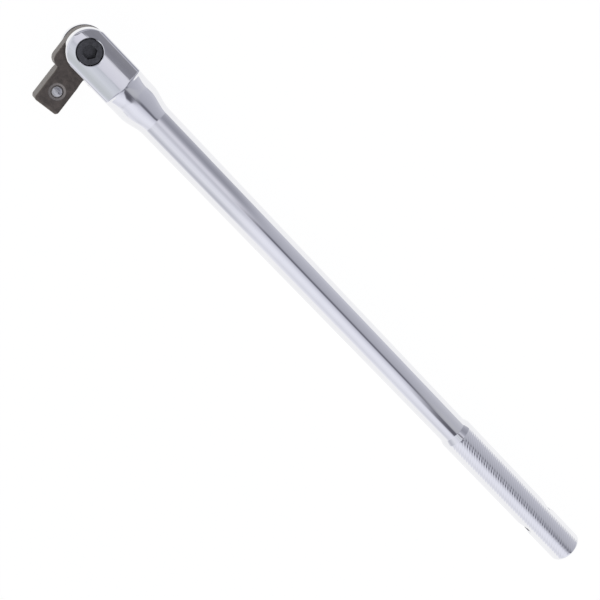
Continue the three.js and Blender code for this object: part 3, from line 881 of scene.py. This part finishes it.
# %% The tip of the fork
def plan_of_tip():
    """A thick plate with the fork's round plan and rolled edges, long enough to clear the grip."""
    bm = bmesh.new()
    start = bm.verts.new((0, -yoke_half_width, -yoke_half_height))
    bmesh.ops.spin(
        bm, geom=[start], cent=(0, 0, -yoke_half_height), axis=(0, 0, -1), angle=math.pi, steps=64
    )
    wide, far = yoke_half_width + 3, bar_end + 3
    bm.verts.ensure_lookup_table()
    first, last = bm.verts[0], bm.verts[-1]
    corners = [
        bm.verts.new((x, y, -yoke_half_height))
        for x, y in [(14, yoke_half_width), (22, wide), (far, wide), (far, -wide), (22, -wide),
                     (14, -yoke_half_width)]
    ]
    chain = [last, *corners, first]
    for pair in zip(chain, chain[1:]):
        bm.edges.new(pair)
    plate = bmesh.ops.contextual_create(bm, geom=bm.edges[:])["faces"]
    grown = bmesh.ops.extrude_face_region(bm, geom=plate)["geom"]
    lifted = [item for item in grown if isinstance(item, bmesh.types.BMVert)]
    bmesh.ops.translate(bm, vec=(0, 0, 2 * yoke_half_height), verts=lifted)
    bmesh.ops.recalc_face_normals(bm, faces=bm.faces)
    rims = [edge for edge in bm.edges if abs(edge.verts[0].co.z - edge.verts[1].co.z) < 0.001]
    bevelled(bm, rims, edge_radius, 7)
    return bm


tip_plan = plan_of_tip()
print("plan of the tip:", len(tip_plan.faces), "faces")

# %% Drills and cutters
screw_low, screw_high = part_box("pivot_screw")
screw_top = 1000 * (screw_high.z - pivot.z)
seat_height = screw_top - 3.0 - 0.05
detent_low, detent_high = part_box("detent_ball")
detent_x = 1000 * ((detent_low.x + detent_high.x) / 2 - pivot.x)
detent_radius = 1000 * (detent_high.z - detent_low.z) / 2
spring_end = 1000 * (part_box("detent_spring")[1].x - pivot.x)
hole_x = bar_end - 27.0
top = yoke_half_height


def flared(radius, mouth, flare, reach):
    """Profile of a drill that widens to a countersink where it meets the surface."""
    return [(radius, mouth - flare), (radius + flare + reach, mouth + reach)]


screw_drill = turned([
    (0, -top - 1), *[(r, -z) for r, z in reversed(flared(4.1, top, 0.45, 1.0))], (4.1, 0),
    (4.6, 0), (4.6, seat_height), (6.15, seat_height), *flared(6.15, top - 0.05, 0.3, 1.0),
    (0, top + 0.95),
])
slot_mill = block((-30, -30, -slot_half), (crotch, 30, slot_half))
steady_bore = turned([
    (0, crotch - 2), (detent_radius + 0.1, crotch - 2), (detent_radius + 0.1, spring_end + 0.3),
    (0, spring_end + 1.8),
], 64, (1, 0, 0))
cross_drill = turned([
    (0, -11), *[(r, -z) for r, z in reversed(flared(4.5, grip_radius - 0.25, 0.6, 2.0))],
    *flared(4.5, grip_radius - 0.25, 0.6, 2.0), (0, 11),
], 96, (0, 1, 0))
bmesh.ops.translate(cross_drill, vec=(hole_x, 0, 0), verts=cross_drill.verts)
print("the steadying ball sits", round(detent_x, 2), "mm behind the pivot")

# %% Machining the forging
handle_shape = machined(blank, tip_plan, "INTERSECT")
handle_shape = machined(handle_shape, slot_mill, "DIFFERENCE")
handle_shape = machined(handle_shape, steady_bore, "DIFFERENCE")
handle_shape = machined(handle_shape, joined(screw_drill, cross_drill), "DIFFERENCE")


def on_slot_mouth(edge):
    ends = [vert.co for vert in edge.verts]
    level = all(abs(abs(end.z) - slot_half) < 0.002 for end in ends)
    outside = all(end.x < 13.2 for end in ends) and not all(end.xy.length < 6 for end in ends)
    return level and outside and edge.calc_face_angle(0) > math.radians(50)


slot_mouth = [edge for edge in handle_shape.edges if on_slot_mouth(edge)]
bevelled(handle_shape, slot_mouth, 0.35, 2)
print("edges eased round the slot:", len(slot_mouth))
handle_forging = set_in_place(
    "handle_forging", handle_shape, chrome_plate, "handle", "chrome_plate", "handle"
)

# %% [markdown]
# ## The drive head
# The head is a second forging: a flat round tang that fills the fork, and under it the square that
# takes a socket. On its outer side the tang ends in a rounded shoulder that stops the socket. On
# the inner side it is flush with the square, so that the head folds against the ears. The outline
# could be cut from a disc, or drawn as an arc with straight sides. It is drawn here, extruded and
# bevelled, and the square is a block with every edge eased. A Boolean joins them, and two drills
# finish the piece.

# %% The tang
TANG_RADIUS, TANG_HALF, SHOULDER, SHOULDER_ROUND = 10.3, 5.0, 13.8, 3.9
SQUARE_HALF, SQUARE_REACH = 12.7 / 2, 31.3


def tang():
    bm = bmesh.new()
    meeting = -math.acos(SQUARE_HALF / TANG_RADIUS)
    start = bm.verts.new(
        (TANG_RADIUS * math.cos(meeting), TANG_RADIUS * math.sin(meeting), -TANG_HALF)
    )
    bmesh.ops.spin(
        bm, geom=[start], cent=(0, 0, -TANG_HALF), axis=(0, 0, 1), angle=math.pi - meeting, steps=112
    )
    bm.verts.ensure_lookup_table()
    first, last = bm.verts[0], bm.verts[-1]
    low_left = bm.verts.new((-TANG_RADIUS, -SHOULDER, -TANG_HALF))
    low_right = bm.verts.new((SQUARE_HALF, -SHOULDER, -TANG_HALF))
    for pair in ((last, low_left), (low_left, low_right), (low_right, first)):
        bm.edges.new(pair)
    bmesh.ops.bevel(
        bm, geom=[low_left], offset=SHOULDER_ROUND, offset_type="OFFSET", segments=14,
        profile=0.5, affect="VERTICES", material=-1,
    )
    plate = bmesh.ops.contextual_create(bm, geom=bm.edges[:])["faces"]
    grown = bmesh.ops.extrude_face_region(bm, geom=plate)["geom"]
    lifted = [item for item in grown if isinstance(item, bmesh.types.BMVert)]
    bmesh.ops.translate(bm, vec=(0, 0, 2 * TANG_HALF), verts=lifted)
    bmesh.ops.recalc_face_normals(bm, faces=bm.faces)
    rims = [edge for edge in bm.edges if abs(edge.verts[0].co.z - edge.verts[1].co.z) < 0.001]
    bevelled(bm, rims, 0.5, 3)
    return bm


tang_shape = tang()
print("tang:", len(tang_shape.faces), "faces")


# %% The square
def drive_square():
    thin = TANG_HALF - 0.05
    start = (10.6 + 0.2 + SQUARE_HALF * math.sin(math.radians(15))) / math.cos(math.radians(15))
    bm = block((-SQUARE_HALF, -start, -thin), (SQUARE_HALF, -9.5, thin))
    end = [face for face in bm.faces if face.normal.y < -0.9]
    for reach, half in ((start + 3.0, SQUARE_HALF), (SQUARE_REACH, SQUARE_HALF)):
        grown = bmesh.ops.extrude_face_region(bm, geom=end)["geom"]
        bmesh.ops.delete(bm, geom=end, context="FACES_ONLY")
        end = [item for item in grown if isinstance(item, bmesh.types.BMFace)]
        for vert in (item for item in grown if isinstance(item, bmesh.types.BMVert)):
            vert.co = (vert.co.x, -reach, math.copysign(half, vert.co.z))
    bmesh.ops.recalc_face_normals(bm, faces=bm.faces)
    tip = [e for e in bm.edges if all(v.co.y < -SQUARE_REACH + 0.01 for v in e.verts)]
    bevelled(bm, tip, 1.6, 6)
    long = [
        e for e in bm.edges
        if abs((e.verts[0].co - e.verts[1].co).normalized().y) > 0.5
        and e.calc_face_angle(0) > math.radians(60)
    ]
    bevelled(bm, long, 0.9, 5)
    return bm


square_shape = drive_square()
print("square:", len(square_shape.faces), "faces")

# %% [markdown]
# The ball's seat is drilled from the face of the square. Its rim is then rolled in with a
# punch: a shallow dish round the ball, and a thin lip that keeps the ball from falling out.

# %% Drilling the head
ball_low, ball_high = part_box("socket_ball")
ball_centre = (ball_low + ball_high) / 2 - pivot
ball_radius = 1000 * (ball_high.z - ball_low.z) / 2
ball_reach = 1000 * ball_centre.xy.length
ball_height = 1000 * ball_centre.z
lip_top = SQUARE_HALF - 0.4
lip_foot = lip_top - 0.2
lip_radius = math.sqrt(ball_radius**2 - (lip_foot - ball_height) ** 2) + 0.06
spring_foot = 1000 * (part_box("socket_ball_spring")[0].z - pivot.z)
ball_drill = turned([
    (0, spring_foot - 0.3), (ball_radius + 0.1, spring_foot - 0.3),
    (ball_radius + 0.1, lip_foot + lip_radius - ball_radius - 0.1), (lip_radius, lip_foot),
    (lip_radius, lip_top), (lip_radius + 0.35, lip_top), (3.75, SQUARE_HALF - 0.16),
    (4.05, SQUARE_HALF), (4.6, SQUARE_HALF + 1), (0, SQUARE_HALF + 1),
], 96)
bmesh.ops.translate(ball_drill, vec=(0, -ball_reach, 0), verts=ball_drill.verts)
pivot_drill = turned([
    (0, -TANG_HALF - 1), *[(r, -z) for r, z in reversed(flared(4.6, TANG_HALF, 0.4, 1.0))],
    *flared(4.6, TANG_HALF, 0.4, 1.0), (0, TANG_HALF + 1),
])
head_shape = machined(tang_shape, square_shape, "UNION")
head_shape = machined(head_shape, joined(ball_drill, pivot_drill), "DIFFERENCE")
drive_head_forging = set_in_place(
    "drive_head_forging", head_shape, black_phosphate, "drive_head", "black_phosphate",
    "drive_head", turn=head_lean,
)

# %% [markdown]
# ## The screw
# A shoulder screw with a low head is the hinge pin. It comes off a lathe, so its body is one
# profile spun round. The hexagon for the key is pressed in afterwards, and is a cutter with six
# sides. The far end carries the thread, which is hidden in the ear.

# %% Pivot screw
head_radius, shank_radius, thread_radius = 6.0, 4.5, 4.0
screw_foot = 1000 * (screw_low.z - pivot.z)
shank_end = -slot_half + 0.05


def screw_body():
    profile = [(0, screw_foot), (thread_radius - 0.8, screw_foot), (thread_radius, screw_foot + 0.8)]
    profile += [(thread_radius, shank_end - 0.5), (thread_radius - 0.25, shank_end - 0.3)]
    profile += [(thread_radius - 0.25, shank_end), (shank_radius - 0.3, shank_end)]
    profile += [(shank_radius, shank_end + 0.3), (shank_radius, screw_top - 3.0)]
    profile += [(head_radius - 0.15, screw_top - 3.0), (head_radius, screw_top - 2.85)]
    profile += [(head_radius, screw_top - 0.6), (head_radius - 0.15, screw_top - 0.3)]
    profile += [(head_radius - 0.45, screw_top - 0.05), (head_radius - 0.7, screw_top)]
    profile += [(3.85, screw_top), (0, screw_top)]
    return turned(profile, 96)


def hexagon_punch():
    """The tool for the key socket: 6 mm across its flats, and it goes 4 mm into the head."""
    bm = bmesh.new()
    key_width, key_depth, length = 6.0, 4.0, 5.0
    corners = key_width / 2 / math.cos(math.pi / 6)
    place = Matrix.Translation((0, 0, screw_top - key_depth + length / 2))
    bmesh.ops.create_cone(
        bm, cap_ends=True, segments=6, radius1=corners, radius2=corners, depth=length,
        matrix=place @ Matrix.Rotation(math.pi / 6, 4, "Z"),
    )
    return bm


screw_shape = machined(screw_body(), hexagon_punch(), "DIFFERENCE")
lead_in = turned([
    (0, screw_top - 1), (2.8, screw_top - 0.35), (3.55, screw_top + 0.4), (0, screw_top + 0.4)
])
screw_shape = machined(screw_shape, lead_in, "DIFFERENCE")
shoulder_screw = set_in_place(
    "shoulder_screw", screw_shape, black_oxide, "handle", "black_oxide", "pivot_screw"
)

# %% [markdown]
# ## Balls, washers and springs
# The balls are true spheres, so a finely divided icosphere gives them an even surface without
# poles. The washers are stamped from strip: a flat one that takes the rubbing, and a waved one
# that presses the head sideways so that it doesn't rattle. The stamping die leaves a soft edge.
# The springs of the solid model already have their real wire, so they only get their finish.


# %% Balls
def ball(radius, centre):
    bm = bmesh.new()
    bmesh.ops.create_icosphere(bm, subdivisions=5, radius=radius, matrix=Matrix.Translation(centre))
    return bm


socket_ball = set_in_place(
    "socket_retaining_ball", ball(ball_radius, (0, -ball_reach, ball_height)), bearing_steel,
    "socket_ball", "bearing_steel", "socket_ball", turn=head_lean,
)
steady_ball = set_in_place(
    "head_steadying_ball", ball(detent_radius, (detent_x, 0, 0)), bearing_steel,
    "detent_ball", "bearing_steel", "detent_ball",
)


# %% Washers
def stamped_washer(low, high, wave_height=0.0):
    inner, outer, ease_by = 4.7, 9.2, 0.08
    profile = [
        (inner + ease_by, low), (outer - ease_by, low), (outer, low + ease_by),
        (outer, high - ease_by), (outer - ease_by, high), (inner + ease_by, high),
        (inner, high - ease_by), (inner, low + ease_by), (inner + ease_by, low),
    ]
    bm = turned(profile, 96)
    for vert in bm.verts:
        vert.co.z += wave_height * math.sin(3 * math.atan2(vert.co.y, vert.co.x))
    return bm


flat_low, flat_high = (1000 * (corner.z - pivot.z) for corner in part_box("thrust_washer"))
wave_low, wave_high = (1000 * (corner.z - pivot.z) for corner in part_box("wave_washer"))
rubbing_washer = set_in_place(
    "rubbing_washer", stamped_washer(flat_low, flat_high), spring_steel,
    "handle", "spring_steel", "thrust_washer",
)
wave_middle = (wave_low + wave_high) / 2
waved_washer = set_in_place(
    "waved_washer", stamped_washer(wave_middle - 0.15, wave_middle + 0.15, 0.12), spring_steel,
    "handle", "spring_steel", "wave_washer",
)

# %% Springs keep the solid model's wire
for name in ("socket_ball_spring", "detent_spring"):
    wire_mesh = nodes[name].data
    wire_mesh.materials.clear()
    wire_mesh.materials.append(spring_steel)
    print(name, "has", len(wire_mesh.polygons), "faces")
